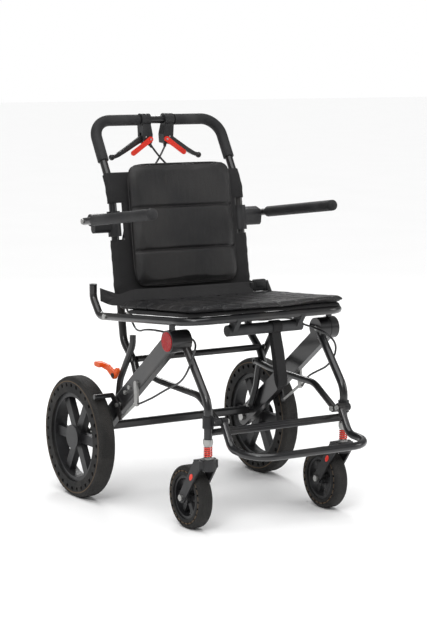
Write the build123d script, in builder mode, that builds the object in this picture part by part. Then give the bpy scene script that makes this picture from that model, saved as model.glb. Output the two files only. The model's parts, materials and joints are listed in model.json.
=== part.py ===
from build123d import *
import os
from math import atan2, cos, hypot, radians, sin, tan

os.makedirs("parts", exist_ok=True)

# Folding travel wheelchair. +X is the sitter's left, the chair faces -Y, the floor is z = 0
# and the origin is the middle of the footprint. Points of the side view are (y, z).

# driving sizes
running_gap = 0.05
piece_gap = 0.3
tube_wall = 2.0

rear_wheel_radius = 152.5
rear_tyre_width = 45
rear_wheel_x = 270
rear_axle_y = 250
rear_axle_diameter = 12

caster_radius = 75
caster_width = 36
caster_x = 192
caster_y = -161
stem_y = -236
stem_diameter = 10

hub_point = (-125.5, 440)
hub_diameter = 54
hub_pin_diameter = 12
beam_depth = 45
beam_inner_x = 214
beam_thickness = 20

leg_diameter = 19.5
leg_x = 191
leg_bend_z = 309
leg_foot_z = 225

seat_tube_diameter = 19
seat_rail_x = 222
seat_front_y = -200.5
seat_rear_y = 228
seat_hinge_z = 459.2
seat_slope = 0.09
horn_y = 263
horn_top_z = 528
sling_thickness = 4
cushion_half_width = 215
cushion_front_top_z = 528
cushion_rear_top_z = 502
cushion_rear_y = 166

back_diameter = 19.5
back_x = 184
handle_z = 933
handle_y = 336.5
grip_diameter = 28
grip_inner_x = 52
cushion_thickness = 26
cushion_width = 300
cushion_bottom = 66
cushion_top = 372

strut_diameter = 16
front_strut_x = 164
rear_strut_x = 204
strut_front = (-236, 262)
strut_rear = (110, 327)
rear_strut_foot = (196, 193)
crossbar_point = (121.5, 359.2)

armrest_x = 254
armrest_pivot = (238, 692)
armrest_tip = (-91.5, 735)
armrest_tube_diameter = 18
armrest_grip_diameter = 27

footrest_diameter = 18
footrest_x = 165
footrest_pivot = (-260, 268)
footrest_front_y = -393.5
footrest_z = 205
footrest_eye_half = 8

cable_diameter = 5
belt_width = 28
belt_thickness = 1.6


def seat_line(y):
    """Height of the seat rail's centre line at a place along the seat."""
    return seat_hinge_z + (hinge_y - y) * seat_slope


def disc(x_start, x_end, place, diameter, bore=0.0, mode=Mode.ADD):
    """A round piece along X, with an optional hole."""
    with BuildSketch(Plane.YZ.offset(min(x_start, x_end))) as outline:
        with Locations(place):
            Circle(diameter / 2)
            if bore:
                Circle(bore / 2, mode=Mode.SUBTRACT)
    extrude(outline.sketch, amount=abs(x_end - x_start), mode=mode)


def post(z_start, z_end, place, diameter, bore=0.0, mode=Mode.ADD):
    """A round piece along Z, with an optional hole; place is (x, y)."""
    with BuildSketch(Plane.XY.offset(z_start)) as outline:
        with Locations(place):
            Circle(diameter / 2)
            if bore:
                Circle(bore / 2, mode=Mode.SUBTRACT)
    extrude(outline.sketch, amount=z_end - z_start, mode=mode)


def tube(points, radii, diameter, wall=tube_wall, mode=Mode.ADD):
    """A round tube along straight runs joined by tangent arcs; wall 0 is a solid rod."""
    with BuildLine() as route:
        if len(points) > 2:
            FilletPolyline(*points, radius=radii)
        else:
            Line(*points)
    path = route.wire()
    with BuildSketch(Plane(origin=path @ 0, z_dir=path % 0)) as section:
        Circle(diameter / 2)
        if wall:
            Circle(diameter / 2 - wall, mode=Mode.SUBTRACT)
    sweep(section.sketch, path=path, mode=mode)


def plate(x_start, x_end, points, mode=Mode.ADD):
    """A flat piece square to X with a straight-sided outline in the side view."""
    with BuildSketch(Plane.YZ.offset(min(x_start, x_end))) as outline:
        with BuildLine():
            Polyline(*points, close=True)
        make_face()
    extrude(outline.sketch, amount=abs(x_end - x_start), mode=mode)


def chain(plane, rounds):
    """A sketch of circles (across, up, radius) joined one to the next by straight sides."""
    with BuildSketch(plane) as outline:
        for across, up, radius in rounds:
            with Locations((across, up)):
                Circle(radius)
        for first, second in zip(rounds, rounds[1:]):
            run = hypot(second[0] - first[0], second[1] - first[1])
            side = ((first[1] - second[1]) / run, (second[0] - first[0]) / run)
            corners = [(end[0] + way * side[0] * end[2], end[1] + way * side[1] * end[2])
                       for end, way in ((first, 1), (second, 1), (second, -1), (first, -1))]
            with BuildLine():
                Polyline(*corners, close=True)
            make_face()
    return outline.sketch


def link(x_start, x_end, rounds, mode=Mode.ADD):
    """A flat piece square to X, stretched round (y, z, radius) circles."""
    extrude(chain(Plane.YZ.offset(min(x_start, x_end)), rounds), amount=abs(x_end - x_start), mode=mode)


def link_y(y_front, y_rear, rounds):
    """A flat piece square to Y, stretched round (x, z, radius) circles."""
    extrude(chain(Plane.XZ.offset(-y_rear), rounds), amount=y_rear - y_front)


def save(name, part):
    part.label = name
    export_step(part, f"parts/{name}.step")


def free_radii(points):
    """Bend radii for a cable: as large as the two runs beside each point allow."""
    places = [Vector(*point) for point in points]
    radii = []
    for before, here, after in zip(places, places[1:], places[2:]):
        first = here - before
        second = after - here
        turn = first.get_angle(second)
        run = min(first.length, second.length)
        radii.append(0.45 * run / tan(radians(turn) / 2))
    return radii


# the back tube's side view: knee, straight back, bend, handle
back_foot = (104, 312)
back_knee = (122, 352)
back_low = (176, 396)
back_bend = (236, 768)
back_lean = atan2(back_bend[1] - back_low[1], back_bend[0] - back_low[0])


def back_y(z):
    """Place of the straight part of the back tube at a height."""
    return back_low[0] + (z - back_low[1]) / tan(back_lean)


hinge_y = back_y(seat_hinge_z)
hinge = (hinge_y, seat_hinge_z)
sides = (("left", 1), ("right", -1))

# ---------------------------------------------------------------- seat frame
rail_low_z = seat_line(seat_rear_y)
rail_front_z = seat_line(seat_front_y)
rail_half = [
    (seat_rail_x, horn_y, horn_top_z),
    (seat_rail_x, horn_y, rail_low_z + 42),
    (seat_rail_x, seat_rear_y, rail_low_z),
    (seat_rail_x, seat_front_y, rail_front_z),
]
rail_points = rail_half + [(-x, y, z) for x, y, z in reversed(rail_half)]
horn_radius = 28
seat_corner_radius = 55

hinge_bolt_diameter = 8

with BuildPart() as seat_tube:
    tube(rail_points, [horn_radius, horn_radius, seat_corner_radius, seat_corner_radius,
                       horn_radius, horn_radius], seat_tube_diameter)
    rail_reach = seat_rail_x + seat_tube_diameter
    disc(-rail_reach, rail_reach, hinge, hinge_bolt_diameter + 2 * running_gap, mode=Mode.SUBTRACT)
save("seat_tube", seat_tube.part)

cap_height = 4
with BuildPart() as rail_end_caps:
    for side, way in sides:
        post(horn_top_z, horn_top_z + cap_height, (way * seat_rail_x, horn_y), seat_tube_diameter)
        post(horn_top_z - 12, horn_top_z, (way * seat_rail_x, horn_y),
             seat_tube_diameter - 2 * tube_wall - 2 * running_gap)
save("rail_end_caps", rail_end_caps.part)

rail_top = seat_tube_diameter / 2 + piece_gap
sling_rear_y = 126
sling_front_y = seat_front_y + 3
sling_half_width = seat_rail_x + 2
with BuildPart() as seat_sling:
    plate(-sling_half_width, sling_half_width, [
        (sling_front_y, seat_line(sling_front_y) + rail_top),
        (sling_rear_y, seat_line(sling_rear_y) + rail_top),
        (sling_rear_y, seat_line(sling_rear_y) + rail_top + sling_thickness),
        (sling_front_y, seat_line(sling_front_y) + rail_top + sling_thickness),
    ])
    fillet(seat_sling.edges().filter_by(Axis.Z, tolerance=8).group_by(Axis.Y)[0], radius=40)
save("seat_sling", seat_sling.part)

cushion_front_y = seat_front_y - 10
cushion_under = rail_top + sling_thickness + piece_gap
with BuildPart() as seat_cushion:
    plate(-cushion_half_width, cushion_half_width, [
        (cushion_front_y, seat_line(cushion_front_y) + cushion_under),
        (cushion_rear_y, seat_line(cushion_rear_y) + cushion_under),
        (cushion_rear_y, cushion_rear_top_z),
        (cushion_front_y, cushion_front_top_z),
    ])
    fillet(seat_cushion.edges().filter_by(Axis.Z, tolerance=8), radius=30)
save("seat_cushion", seat_cushion.part)

# moulded carry handle under the front rail
carry_place = (-176, 462)
carry_diameter = 27
carry_half_length = 104
lug_width = 12
rail_front = (seat_front_y, rail_front_z)
with BuildPart() as carry_handle:
    disc(-carry_half_length, carry_half_length, carry_place, carry_diameter)
    for side, way in sides:
        lug_start = way * (carry_half_length - 8)
        link(lug_start, lug_start - way * lug_width, [
            (*carry_place, carry_diameter / 2 - 1),
            (seat_front_y, rail_front_z - 3, seat_tube_diameter / 2 + 0.5),
        ])
    disc(-carry_half_length, carry_half_length, rail_front,
         seat_tube_diameter + 2 * running_gap, mode=Mode.SUBTRACT)
save("carry_handle", carry_handle.part)

# webbing loop that hangs round the carry handle
strap_width = 25
strap_thickness = 1.6
strap_top_z = carry_place[1]
strap_drop = 150
strap_x = 30
with BuildPart() as pull_strap:
    loop_radius = carry_diameter / 2 + piece_gap
    strap_bottom_z = strap_top_z - strap_drop
    outer_loop = loop_radius + strap_thickness
    link(strap_x - strap_width / 2, strap_x + strap_width / 2, [
        (*carry_place, outer_loop),
        (carry_place[0], strap_bottom_z, 5 + strap_thickness),
    ])
    link(strap_x - strap_width / 2, strap_x + strap_width / 2, [
        (*carry_place, loop_radius),
        (carry_place[0], strap_bottom_z, 5),
    ], mode=Mode.SUBTRACT)
save("pull_strap", pull_strap.part)

# lap belt: a flat strap over the cushion and an upright strap to each anchor
belt_slope = (cushion_rear_top_z - cushion_front_top_z) / (cushion_rear_y - cushion_front_y)
belt_plane = Plane(origin=(0, cushion_front_y, cushion_front_top_z + piece_gap),
                   x_dir=(1, 0, 0), z_dir=(0, -belt_slope, 1))
stretch = hypot(1, belt_slope)
buckle_x = 150
buckle_y = 74


def on_belt(x, y):
    return (x, (y - cushion_front_y) * stretch)


side_strap_x = 204
strap_end_reach = 16
anchor_y = horn_y - 6
anchor_z = horn_top_z - 22
with BuildPart() as lap_belt:
    for side, way in sides:
        with BuildSketch(belt_plane) as strip:
            with BuildLine() as trace:
                Polyline(on_belt(buckle_x + way * strap_end_reach, buckle_y),
                         on_belt(way * 190, buckle_y + 12),
                         on_belt(way * 197, cushion_rear_y - 10))
            trace_wire = trace.wire()
            trace_outline = offset(trace_wire, amount=belt_width / 2, side=Side.BOTH, kind=Kind.INTERSECTION,
                                   mode=Mode.PRIVATE)
            add(make_face(trace_outline.edges(), mode=Mode.PRIVATE))
        extrude(strip.sketch, amount=belt_thickness)
        plate(way * side_strap_x, way * (side_strap_x + belt_thickness), [
            (cushion_rear_y + 2, cushion_rear_top_z - 8),
            (anchor_y + 8, anchor_z - belt_width / 2),
            (anchor_y + 8, anchor_z + belt_width / 2),
            (cushion_rear_y + 2, cushion_rear_top_z + 20),
        ])
save("lap_belt", lap_belt.part)

belt_top = (buckle_y - cushion_front_y) * belt_slope + cushion_front_top_z + piece_gap
buckle_height = 30
with BuildPart() as belt_buckle:
    with BuildSketch(Plane.XZ.offset(-buckle_y - 10)) as buckle_face:
        with Locations((buckle_x, belt_top + belt_thickness + 2 * piece_gap + buckle_height / 2)):
            RectangleRounded(52, buckle_height, 5)
    extrude(buckle_face.sketch, amount=14)
save("belt_buckle", belt_buckle.part)

# ---------------------------------------------------------------- side beams
axle_point = (rear_axle_y, rear_wheel_radius)
beam_outer_x = beam_inner_x + beam_thickness
hub_outer_x = beam_outer_x + 2
disc_outer_x = beam_inner_x - piece_gap
post_diameter = 15
crossbar_height = 22
crossbar_thickness = 14
crossbar_place = (226, 176)
crossbar_rise = (crossbar_height - crossbar_thickness) / 2
with BuildPart() as side_beams:
    for side, way in sides:
        link(way * beam_inner_x, way * beam_outer_x, [
            (*hub_point, beam_depth / 2),
            (*axle_point, beam_depth / 2),
        ])
        disc(way * beam_inner_x, way * hub_outer_x, hub_point, hub_diameter)
        post(hub_point[1] + 20, seat_line(hub_point[0]), (way * seat_rail_x, hub_point[0]), post_diameter)
    outer_round = side_beams.edges().filter_by(GeomType.LINE).filter_by(
        lambda edge: abs(abs(edge.center().X) - beam_outer_x) < 0.1 and edge.length > beam_depth)
    fillet(outer_round, radius=5)
    for side, way in sides:
        disc(way * (seat_rail_x - 30), way * (seat_rail_x + 30), hub_point,
             hub_pin_diameter + 2 * running_gap, mode=Mode.SUBTRACT)
        disc(way * (seat_rail_x - 30), way * (seat_rail_x + 30), axle_point,
             rear_axle_diameter + 2 * running_gap, mode=Mode.SUBTRACT)
        disc(way * (seat_rail_x - 30), way * (seat_rail_x + 30), rear_strut_foot,
             hinge_bolt_diameter + 2 * running_gap, mode=Mode.SUBTRACT)
    tube(rail_points, [horn_radius, horn_radius, seat_corner_radius, seat_corner_radius,
                       horn_radius, horn_radius], seat_tube_diameter + 2 * running_gap, 0,
         mode=Mode.SUBTRACT)
    reach = beam_inner_x - running_gap
    link(-reach, reach, [
        (crossbar_place[0], crossbar_place[1] - crossbar_rise, crossbar_thickness / 2),
        (crossbar_place[0], crossbar_place[1] + crossbar_rise, crossbar_thickness / 2),
    ])
save("side_beams", side_beams.part)

reflector_thickness = 1.6
with BuildPart() as hub_reflectors:
    for side, way in sides:
        disc(way * (hub_outer_x + running_gap), way * (hub_outer_x + reflector_thickness), hub_point,
             hub_diameter - 8)
save("hub_reflectors", hub_reflectors.part)

wheel_inner_x = rear_wheel_x - rear_tyre_width / 2
wheel_outer_x = rear_wheel_x + rear_tyre_width / 2
hub_pin_inner_x = leg_x - 8

# pivot pins, wheel axles, strut bolts, and the hinge bolts of the back
bolt_head_inner_x = back_x - 16
guide_inner_x = bolt_head_inner_x - 11
guide_diameter = 13
strut_bolt_diameter = 8
with BuildPart() as axles_and_bolts:
    for side, way in sides:
        disc(way * hub_pin_inner_x, way * (hub_outer_x - 1), hub_point, hub_pin_diameter)
        disc(way * (beam_inner_x - 6), way * (wheel_outer_x - 5), axle_point, rear_axle_diameter)
        disc(way * (beam_inner_x - 6), way * (beam_inner_x - running_gap), axle_point,
             rear_axle_diameter + 8)
        disc(way * (beam_outer_x + running_gap), way * (wheel_inner_x - 1), axle_point,
             rear_axle_diameter + 8)
        bolt_end_x = seat_rail_x + seat_tube_diameter / 2 + 4
        disc(way * bolt_head_inner_x, way * bolt_end_x, hinge, hinge_bolt_diameter)
        disc(way * (bolt_end_x - 4 + running_gap), way * bolt_end_x, hinge, 15)
        disc(way * (bolt_head_inner_x + 1), way * (back_x - back_diameter / 2 - piece_gap), hinge, 15)
        spacer_start = back_x + back_diameter / 2 + piece_gap
        spacer_end = seat_rail_x - seat_tube_diameter / 2 - running_gap
        disc(way * spacer_start, way * spacer_end, hinge, 16)
        disc(way * (rear_strut_x - strut_diameter / 2 - 4),
             way * (beam_outer_x + 3), rear_strut_foot, strut_bolt_diameter)
        disc(way * (beam_outer_x + running_gap), way * (beam_outer_x + 4), rear_strut_foot, 14)
save("axles_and_bolts", axles_and_bolts.part)

# ---------------------------------------------------------------- back frame
grip_corner_radius = 50
back_half = [
    (back_x, *back_foot),
    (back_x, *back_knee),
    (back_x, *back_low),
    (back_x, *back_bend),
    (back_x, handle_y, handle_z),
]
back_points = back_half + [(-x, y, z) for x, y, z in reversed(back_half)]
knee_radius = 30
low_radius = 45
bend_radius = 90
back_radii = [knee_radius, low_radius, bend_radius, grip_corner_radius, grip_corner_radius,
              bend_radius, low_radius, knee_radius]
crossbar_diameter = 16
with BuildPart() as back_tube:
    tube(back_points, back_radii, back_diameter)
    weld_x = back_x - back_diameter / 2 + 3
    disc(-weld_x, weld_x, crossbar_point, crossbar_diameter, crossbar_diameter - 2 * tube_wall)
    back_reach = back_x + back_diameter
    for side, way in sides:
        disc(way * (back_x - 14), way * back_reach, hinge, hinge_bolt_diameter + 2 * running_gap,
             mode=Mode.SUBTRACT)
save("back_tube", back_tube.part)

# foam grips follow the tube from below the corner to the middle of the bar
upper_rise = atan2(handle_z - back_bend[1], handle_y - back_bend[0])
grip_low_z = 836
grip_low_y = handle_y - (handle_z - grip_low_z) / tan(upper_rise)
grip_bore = back_diameter + 2 * running_gap
with BuildPart() as handle_grips:
    for side, way in sides:
        tube([(way * back_x, grip_low_y, grip_low_z), (way * back_x, handle_y, handle_z),
              (way * grip_inner_x, handle_y, handle_z)], [grip_corner_radius], grip_diameter,
             (grip_diameter - grip_bore) / 2)
save("handle_grips", handle_grips.part)

back_direction = Vector(0, cos(back_lean), sin(back_lean))


def up_back(distance, forward):
    """Side-view point at a distance above the hinge along the back, moved forward of the tube."""
    return (hinge_y + cos(back_lean) * distance - sin(back_lean) * forward,
            seat_hinge_z + sin(back_lean) * distance + cos(back_lean) * forward)


clamp_diameter = 33
clamp_height = 62
clamp_up = 196
sling_bottom = 60
sling_top = 300
sling_front = back_diameter / 2 + piece_gap
back_sling_thickness = 3
sling_edge_x = back_x - clamp_diameter / 2 - piece_gap
with BuildPart() as back_sling:
    plate(-back_x - 6, back_x + 6, [
        up_back(sling_bottom, sling_front),
        up_back(sling_top, sling_front),
        up_back(sling_top, sling_front + back_sling_thickness),
        up_back(sling_bottom, sling_front + back_sling_thickness),
    ])
    for side, way in sides:
        plate(way * sling_edge_x, way * (back_x + 10), [
            up_back(clamp_up - 8, sling_front - 1),
            up_back(clamp_up + clamp_height + 8, sling_front - 1),
            up_back(clamp_up + clamp_height + 8, sling_front + back_sling_thickness + 1),
            up_back(clamp_up - 8, sling_front + back_sling_thickness + 1),
        ], mode=Mode.SUBTRACT)
save("back_sling", back_sling.part)

pad_front = sling_front + back_sling_thickness + piece_gap
with BuildPart() as back_cushion:
    plate(-cushion_width / 2, cushion_width / 2, [
        up_back(cushion_bottom, pad_front),
        up_back(cushion_top, pad_front),
        up_back(cushion_top, pad_front + cushion_thickness),
        up_back(cushion_bottom, pad_front + cushion_thickness),
    ])
    depth_edges = back_cushion.edges().filter_by(
        lambda edge: edge.geom_type == GeomType.LINE and abs(edge.length - cushion_thickness) < 0.1)
    fillet(depth_edges, radius=28)
save("back_cushion", back_cushion.part)

# armrest clamps: a split ring on each back tube with an arm outwards to the armrest's pivot
armrest_bolt_diameter = 8
armrest_inner_x = armrest_x - armrest_tube_diameter / 2
clamp_centre = up_back(clamp_up + clamp_height / 2, 0)
with BuildPart() as armrest_clamps:
    for side, way in sides:
        clamp_plane = Plane(origin=(way * back_x, *up_back(clamp_up, 0)), x_dir=(1, 0, 0),
                            z_dir=back_direction)
        with BuildSketch(clamp_plane) as ring:
            Circle(clamp_diameter / 2)
        extrude(ring.sketch, amount=clamp_height)
        link(way * back_x, way * (armrest_inner_x - 2), [
            (armrest_pivot[0], armrest_pivot[1] + 2, 15),
            (clamp_centre[0], clamp_centre[1] + 8, 13),
            (clamp_centre[0], clamp_centre[1] - 10, 11),
        ])
    for side, way in sides:
        bore_plane = Plane(origin=(way * back_x, *up_back(clamp_up - 40, 0)), x_dir=(1, 0, 0),
                           z_dir=back_direction)
        with BuildSketch(bore_plane) as bore:
            Circle(back_diameter / 2 + running_gap)
        extrude(bore.sketch, amount=clamp_height + 80, mode=Mode.SUBTRACT)
        disc(way * (armrest_inner_x - 30), way * armrest_inner_x, armrest_pivot,
             armrest_bolt_diameter + 2 * running_gap, mode=Mode.SUBTRACT)
save("armrest_clamps", armrest_clamps.part)

# ---------------------------------------------------------------- armrests
arm_vector = Vector(0, armrest_tip[0] - armrest_pivot[0], armrest_tip[1] - armrest_pivot[1])
arm_length = arm_vector.length
arm_direction = arm_vector.normalized()
foam_start = 44


def along_arm(distance):
    return (armrest_pivot[0] + arm_direction.Y * distance, armrest_pivot[1] + arm_direction.Z * distance)


for side, way in sides:
    with BuildPart() as armrest_tube:
        tube([(way * armrest_x, *along_arm(-10)), (way * armrest_x, *along_arm(arm_length - 6))], [],
             armrest_tube_diameter)
        disc(way * (armrest_x - 30), way * (armrest_x + 30), armrest_pivot,
             armrest_bolt_diameter + 2 * running_gap, mode=Mode.SUBTRACT)
    save(f"armrest_tube_{side}", armrest_tube.part)

    with BuildPart() as armrest_grip:
        tube([(way * armrest_x, *along_arm(foam_start)), (way * armrest_x, *along_arm(arm_length))], [],
             armrest_grip_diameter, 0)
        fillet(armrest_grip.edges().sort_by(Axis.Y)[0], radius=5)
        tube([(way * armrest_x, *along_arm(foam_start - 1)), (way * armrest_x, *along_arm(arm_length - 5))],
             [], armrest_tube_diameter + 2 * running_gap, 0, mode=Mode.SUBTRACT)
    save(f"armrest_grip_{side}", armrest_grip.part)

# ---------------------------------------------------------------- hand brakes
hood_x = 34
hood_width = 26
hood_pivot = (35, 890)
lever_thickness = 9
lock_pivot = (24, 884)
lock_thickness = 4
hood_front_y = handle_y - 14
lever_pin_diameter = 5


def disc_y(y_start, y_end, place, diameter, mode=Mode.ADD):
    """A round piece along Y; place is (x, z)."""
    with BuildSketch(Plane.XZ.offset(-max(y_start, y_end))) as outline:
        with Locations(place):
            Circle(diameter / 2)
    extrude(outline.sketch, amount=abs(y_end - y_start), mode=mode)


slot_half = lever_thickness / 2 + piece_gap
with BuildPart() as brake_hoods:
    for side, way in sides:
        disc(way * (hood_x - hood_width / 2), way * (hood_x + hood_width / 2), (handle_y, handle_z), 33)
        with BuildSketch(Plane.XZ.offset(-(handle_y + 14))) as body:
            with BuildLine():
                Polyline((way * 22, handle_z - 10), (way * 46, handle_z - 10), (way * 44, hood_pivot[1] - 8),
                         (way * 34, hood_pivot[1] - 20), (way * 18, hood_pivot[1] - 16),
                         (way * 16, hood_pivot[1] + 6), close=True)
            make_face()
        extrude(body.sketch, amount=28)
    for side, way in sides:
        with BuildSketch(Plane.XZ.offset(-(handle_y + slot_half))) as slot:
            with Locations((way * (hood_pivot[0] + 10), hood_pivot[1] - 6)):
                Rectangle(44, 34)
        extrude(slot.sketch, amount=2 * slot_half, mode=Mode.SUBTRACT)
        disc_y(hood_front_y - 5, handle_y + 14, (way * hood_pivot[0], hood_pivot[1]),
               lever_pin_diameter + 2 * running_gap, mode=Mode.SUBTRACT)
    disc(-hood_x - hood_width, hood_x + hood_width, (handle_y, handle_z),
         back_diameter + 2 * running_gap, mode=Mode.SUBTRACT)
save("brake_hoods", brake_hoods.part)

with BuildPart() as back_bolts:
    for side, way in sides:
        disc(way * (back_x + back_diameter / 2 + running_gap),
             way * (rear_strut_x - strut_diameter / 2 - piece_gap), crossbar_point, 14)
        disc(way * (armrest_inner_x - 26), way * (armrest_x + armrest_tube_diameter / 2 + 1), armrest_pivot,
             armrest_bolt_diameter)
        disc(way * (armrest_x + armrest_tube_diameter / 2 + piece_gap),
             way * (armrest_x + armrest_tube_diameter / 2 + 3), armrest_pivot, 14)
        disc_y(handle_y - 13, handle_y + 13, (way * hood_pivot[0], hood_pivot[1]), lever_pin_diameter)
        disc_y(hood_front_y - lock_thickness - 1.5, hood_front_y - piece_gap,
               (way * lock_pivot[0], lock_pivot[1]), lever_pin_diameter)
save("back_bolts", back_bolts.part)

lever_points = [(35, 890), (62, 874), (92, 856), (112, 845), (128, 840)]
lever_radii = [8, 6.5, 5.5, 5, 5]
lever_ball_radius = 7.7
for side, way in sides:
    with BuildPart() as brake_lever:
        blade = [(way * x, z, radius) for (x, z), radius in zip(lever_points, lever_radii)]
        link_y(handle_y - lever_thickness / 2, handle_y + lever_thickness / 2, blade)
        with Locations((way * lever_points[-1][0], handle_y, lever_points[-1][1])):
            Sphere(lever_ball_radius, rotation=(0, 0, 90))
        disc_y(handle_y - 10, handle_y + 10, (way * hood_pivot[0], hood_pivot[1]),
               lever_pin_diameter + 2 * running_gap, mode=Mode.SUBTRACT)
    save(f"brake_lever_{side}", brake_lever.part)

    with BuildPart() as parking_lock:
        lock_back_y = hood_front_y - piece_gap
        link_y(lock_back_y - lock_thickness, lock_back_y, [
            (way * lock_pivot[0], lock_pivot[1], 7), (way * 50, 866, 6), (way * 74, 850, 6.5)])
        disc_y(hood_front_y - 10, hood_front_y, (way * lock_pivot[0], lock_pivot[1]),
               lever_pin_diameter + 2 * running_gap, mode=Mode.SUBTRACT)
    save(f"parking_lock_{side}", parking_lock.part)

# ---------------------------------------------------------------- brake cables
guide_x = (guide_inner_x + bolt_head_inner_x) / 2
guide_reach = guide_diameter / 2 + 0.1
exit_direction = Vector(0, -0.68, -0.733).normalized()


def at_guide(distance):
    place = Vector(0, *hinge) + exit_direction * distance
    return (guide_x, place.Y, place.Z)


with BuildPart() as brake_cables_upper:
    for way, depth in ((1, 0), (-1, 9)):
        points = [(-22, 318 + depth, 866), (-6, 312 + depth, 842), (22, 302 + depth, 812),
                  (58, 288 + depth / 2, 778), (96, 276, 734), (126, 266, 682), (145, 256, 624),
                  (155, 243, 566), at_guide(-62), at_guide(-guide_reach)]
        points = [(way * x, y, z) for x, y, z in points]
        tube(points, free_radii(points), cable_diameter, 0)
save("brake_cables_upper", brake_cables_upper.part)

stop_x = 238
stop_point = (12, 271)
with BuildPart() as brake_cables_lower:
    for side, way in sides:
        points = [at_guide(guide_reach), at_guide(42), (178, 106, 430), (192, 55, 442),
                  (195, 5, 448), (186, -45, 447), (174, -92, 445), (172, -136, 444),
                  (184, -172, 434), (203, -186, 410), (208, -174, 376), (207.5, -142, 346),
                  (207.5, -100, 328), (209, -58, 309), (222, -24, 287),
                  (stop_x, stop_point[0] - 4.5, stop_point[1])]
        points = [(way * x, y, z) for x, y, z in points]
        tube(points, free_radii(points), cable_diameter, 0)
save("brake_cables_lower", brake_cables_lower.part)

# ---------------------------------------------------------------- wheel brakes
brake_pivot = (110, 252)
brake_foot = (95, 222)
brake_bar_diameter = 12
brake_bar_gap = 6
bar_reach = rear_wheel_radius + brake_bar_gap + brake_bar_diameter / 2
bar_angle = radians(133.4)
brake_bar = (rear_axle_y + bar_reach * cos(bar_angle), rear_wheel_radius + bar_reach * sin(bar_angle))
arm_inner_x = beam_outer_x + 2
arm_outer_x = arm_inner_x + 5
with BuildPart() as cable_fittings:
    for side, way in sides:
        disc(way * guide_inner_x, way * (bolt_head_inner_x - running_gap), hinge, guide_diameter)
        link(way * (beam_outer_x + running_gap), way * (stop_x + 2), [
            (stop_point[0] + 4, stop_point[1], 7),
            (stop_point[0] + 8, stop_point[1] + 48, 7),
        ])
        disc(way * (beam_outer_x + running_gap), way * arm_inner_x, brake_pivot, 16)
        disc(way * (beam_outer_x + running_gap), way * (arm_outer_x + 1), brake_pivot, 6)
        disc(way * (arm_outer_x + piece_gap), way * (arm_outer_x + 2), brake_pivot, 11)
        for place in ((56, 304), (76, 288.5)):
            disc(way * (beam_outer_x + running_gap), way * (beam_outer_x + 4), place, 11)
save("cable_fittings", cable_fittings.part)

for side, way in sides:
    with BuildPart() as brake_arm:
        link(way * (arm_inner_x + piece_gap), way * arm_outer_x, [(*brake_pivot, 9), (*brake_foot, 6)])
        link(way * (arm_inner_x + piece_gap), way * arm_outer_x, [(*brake_pivot, 9), (*brake_bar, 6)])
        disc(way * (arm_inner_x + piece_gap), way * (wheel_outer_x - 4), brake_bar, brake_bar_diameter)
        disc(way * (arm_inner_x - 5), way * (arm_outer_x + 5), brake_pivot, 6 + 2 * running_gap,
             mode=Mode.SUBTRACT)
    save(f"brake_arm_{side}", brake_arm.part)

with BuildPart() as brake_springs:
    for side, way in sides:
        spring_start = (way * stop_x, stop_point[0] + 11.5, stop_point[1] - 3)
        spring_end = (way * stop_x, brake_foot[0] - 6.8, brake_foot[1] + 3)
        tube([spring_start, spring_end], [], 7, 0)
save("brake_springs", brake_springs.part)

# ---------------------------------------------------------------- struts
strut_eye = strut_diameter / 2 + 1
with BuildPart() as front_struts:
    for side, way in sides:
        tube([(way * front_strut_x, *strut_rear), (way * front_strut_x, 40, 317),
              (way * front_strut_x, -150, 311), (way * front_strut_x, *strut_front)],
             [300, 70], strut_diameter)
        for place in (strut_rear, strut_front):
            disc(way * (front_strut_x - 6.5), way * (front_strut_x + 6.5), place, 2 * strut_eye)
            disc(way * (front_strut_x - 10), way * (front_strut_x + 10), place,
                 strut_bolt_diameter + 2 * running_gap, mode=Mode.SUBTRACT)
save("front_struts", front_struts.part)

# the foot pedal's bolt is held by the right strut
stub_top_z = 420
stub_y = 94
pedal_pivot = (165, 315)
pedal_inner_x = rear_strut_x + strut_diameter / 2 + piece_gap
with BuildPart() as rear_struts:
    for side, way in sides:
        x = way * rear_strut_x
        tube([(x, stub_y, stub_top_z), (x, stub_y, 400), (x, 158, 305), (x, 170, 250), (x, *rear_strut_foot)],
             [40, 60, 60], strut_diameter)
        post(stub_top_z + running_gap, stub_top_z + 4, (x, stub_y), strut_diameter)
        disc(way * (rear_strut_x - 7), way * (rear_strut_x + 7), rear_strut_foot, 2 * strut_eye)
        disc(way * (rear_strut_x - 10), way * (rear_strut_x + 10), rear_strut_foot,
             strut_bolt_diameter + 2 * running_gap, mode=Mode.SUBTRACT)
    disc(-(pedal_inner_x + piece_gap / 2), -(pedal_inner_x + 10), pedal_pivot, 6)
    disc(-(pedal_inner_x + 8 + piece_gap), -(pedal_inner_x + 11), pedal_pivot, 12)
save("rear_struts", rear_struts.part)

# foot pedal that frees the fold
# foot pedal that frees the fold, on the outer side of the right strut
pedal_pivot = (165, 315)
pedal_inner_x = rear_strut_x + strut_diameter / 2 + piece_gap
with BuildPart() as foot_pedal:
    for rounds in ([(*pedal_pivot, 9), (196, 330, 7)], [(196, 330, 7), (238, 334, 6)],
                   [(*pedal_pivot, 9), (150, 330, 6)]):
        link(-pedal_inner_x, -(pedal_inner_x + 8), rounds)
    link(-pedal_inner_x, -(pedal_inner_x + 18), [(222, 333, 6), (240, 334, 6)])
    disc(-(pedal_inner_x - 5), -(pedal_inner_x + 20), pedal_pivot, 6 + 2 * running_gap, mode=Mode.SUBTRACT)
save("foot_pedal", foot_pedal.part)

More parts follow.
